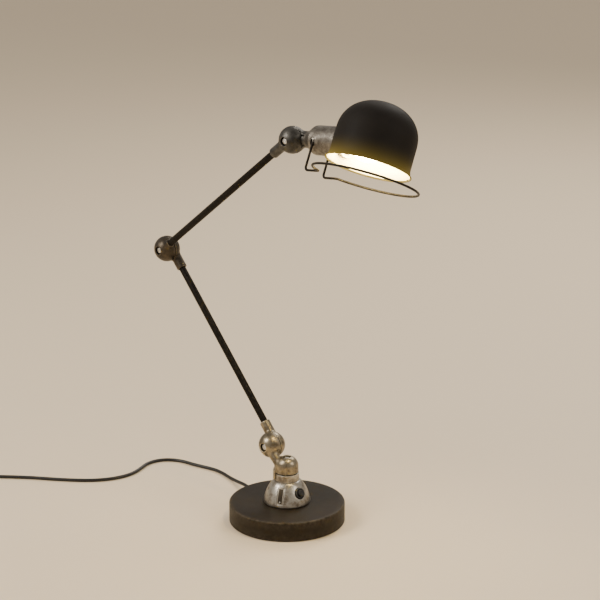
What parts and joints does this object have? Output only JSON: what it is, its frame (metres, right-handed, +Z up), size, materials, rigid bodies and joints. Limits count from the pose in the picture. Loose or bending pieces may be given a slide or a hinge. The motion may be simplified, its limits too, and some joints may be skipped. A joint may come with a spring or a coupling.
{
  "type": "architect desk lamp",
  "caption": "Desk lamp with a weighted round base, bell pedestal with swivelling turret, two tubular arms on split ball knuckles, and a domed shade with a wire guard ring.",
  "frame": {"origin": "centre of the felt underside of the weighted base, on the table", "axes": "+Z up; the arms stand in the XZ plane with the head at +X and the elbow at -X; the knuckle screws face -Y"},
  "size_m": [0.8576, 0.479, 0.7616],
  "materials": {
    "base_paint": "matte",
    "cover_steel": "satin",
    "felt": "matte",
    "raw_casting": "satin",
    "bright_steel": "satin",
    "black_plastic": "satin",
    "plate_bronze": "satin",
    "cord_jacket": "matte",
    "fibre": "matte",
    "brass": "satin",
    "tube_black": "satin",
    "wire_cover": "satin",
    "dark_casting": "satin",
    "gunmetal_casting": "satin",
    "holder_casting": "satin",
    "porcelain": "satin",
    "bulb_glass": "gloss",
    "shade_enamel": "satin",
    "wire_black": "satin"
  },
  "bodies": {
    "base": {"base_disc": "base_paint", "base_cover": "cover_steel", "base_felt": "felt", "pedestal": "raw_casting", "pedestal_screws": "bright_steel", "switch_housing": "black_plastic", "switch_bezel": "black_plastic", "name_plate": "plate_bronze", "plate_rivet": "bright_steel", "base_lead": "cord_jacket", "turret_ring_disc": "fibre", "turret_rings": "brass", "cord_relief": "cord_jacket", "cord_run": "cord_jacket", "cord_coil": "cord_jacket", "cord_tie": "black_plastic", "cord_tail": "cord_jacket", "plug_body": "black_plastic", "plug_pins": "bright_steel"},
    "button": {"switch_button": "black_plastic"},
    "turret": {"turret_casting": "raw_casting", "turret_bolt": "bright_steel", "turret_nut": "bright_steel", "turret_washer": "bright_steel", "turret_pin_disc": "fibre", "turret_pins": "brass", "shoulder_screw": "bright_steel", "shoulder_nut": "bright_steel", "shoulder_washer": "bright_steel", "shoulder_pin_disc": "fibre", "shoulder_pins": "brass"},
    "lower_arm": {"shoulder_knuckle": "raw_casting", "lower_tube": "tube_black", "lower_wires": "wire_cover", "elbow_socket": "dark_casting", "lower_ring_discs": "fibre", "lower_rings": "brass"},
    "upper_arm": {"elbow_knuckle": "dark_casting", "upper_tube": "tube_black", "upper_wires": "wire_cover", "wrist_socket": "gunmetal_casting", "upper_screws": "bright_steel", "upper_nuts": "bright_steel", "upper_washers": "bright_steel", "upper_pin_discs": "fibre", "upper_pins": "brass"},
    "neck": {"wrist_neck": "gunmetal_casting", "wrist_ring_disc": "fibre", "wrist_rings": "brass", "neck_retainer": "bright_steel"},
    "head": {"lamp_holder": "holder_casting", "socket_body": "porcelain", "socket_shell": "brass", "bulb_cap": "brass", "bulb_glass": "bulb_glass", "shade": "shade_enamel", "shade_ring": "porcelain", "guard_ring": "wire_black"}
  },
  "joints": [
    {"name": "switch_press", "type": "slide", "parent": "base", "child": "button", "axis": [-0.9041, 0.0632, -0.4226], "range_m": [0, 0.0025], "stiffness_N_per_m": 400},
    {"name": "turret_swivel", "type": "hinge", "parent": "base", "child": "turret", "pos_m": [0, 0, 0.0885], "axis": [0, 0, 1], "range_deg": [-170, 170]},
    {"name": "shoulder_tilt", "type": "hinge", "parent": "turret", "child": "lower_arm", "pos_m": [-0.0368, 0, 0.1285], "axis": [0, 1, 0], "range_deg": [-45, 50]},
    {"name": "elbow_fold", "type": "hinge", "parent": "lower_arm", "child": "upper_arm", "pos_m": [-0.30133, 0, 0.42854], "axis": [0, 1, 0], "range_deg": [-85, 30]},
    {"name": "wrist_tilt", "type": "hinge", "parent": "upper_arm", "child": "neck", "pos_m": [0.01474, 0, 0.67371], "axis": [0, 1, 0], "range_deg": [-60, 40]},
    {"name": "shade_twist", "type": "hinge", "parent": "neck", "child": "head", "pos_m": [0.01474, 0.0105, 0.67371], "axis": [0.9947, 0, 0.1028], "range_deg": [-60, 115]}
  ]
}
